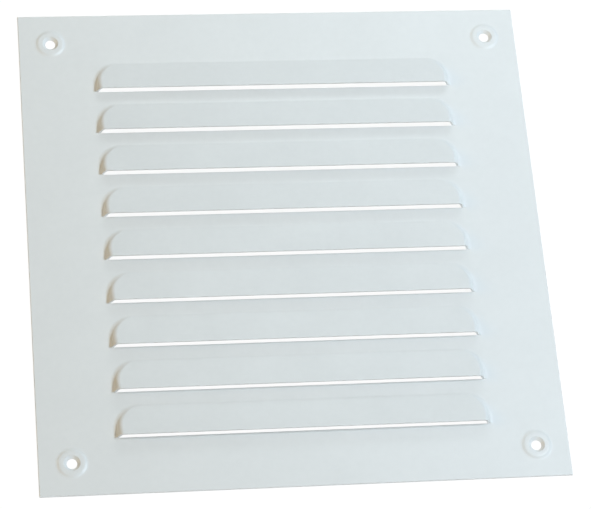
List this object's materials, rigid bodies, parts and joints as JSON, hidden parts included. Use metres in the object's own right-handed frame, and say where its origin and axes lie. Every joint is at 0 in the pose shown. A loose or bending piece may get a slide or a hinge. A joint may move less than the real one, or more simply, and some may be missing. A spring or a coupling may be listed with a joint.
{
  "type": "ventilation grille",
  "caption": "Flat square ventilation grille of pressed painted sheet metal, with long rain-shedding louvres and a raised countersunk screw hole in each corner.",
  "frame": {"origin": "middle of the plate's flat back face", "axes": "+Z out of the front face, the way the louvres rise; +X along the louvres, to the right seen from the front; -Y is down when it hangs on a wall, the way the louvres' mouths face"},
  "size_m": [0.2, 0.2, 0.0048],
  "materials": {
    "louvre_plate": "satin white paint on thin aluminium sheet"
  },
  "bodies": {
    "root": {"louvre_plate": "louvre_plate"}
  },
  "joints": []
}
